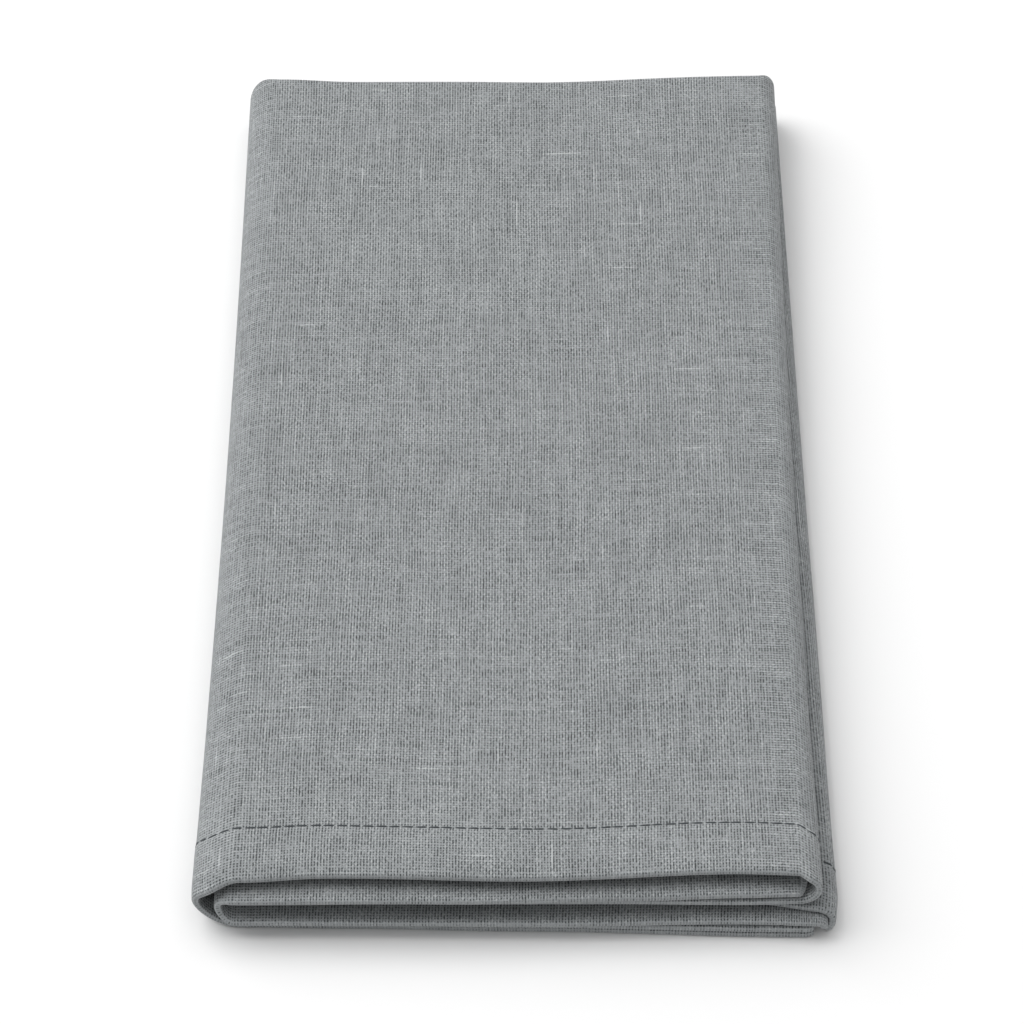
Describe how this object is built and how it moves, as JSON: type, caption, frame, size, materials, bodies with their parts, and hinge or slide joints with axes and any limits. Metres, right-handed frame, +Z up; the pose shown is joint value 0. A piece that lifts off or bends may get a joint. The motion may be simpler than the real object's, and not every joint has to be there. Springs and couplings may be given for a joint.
{
  "type": "folded cloth napkin",
  "caption": "Plain-weave linen napkin with stitched hems, doubled crosswise and folded in quarters into a flat oblong packet.",
  "frame": {"origin": "centre of the folded packet's box at the surface it lies on", "axes": "+X across the packet, towards the side with the free side hems; +Y along it, away from the front hems, to the crosswise fold; +Z up through the layers"},
  "size_m": [0.116, 0.2284, 0.0136],
  "materials": {
    "linen": "plain-weave washed linen, cool mid grey, matt"
  },
  "bodies": {
    "root": {"napkin": "linen"}
  },
  "joints": []
}
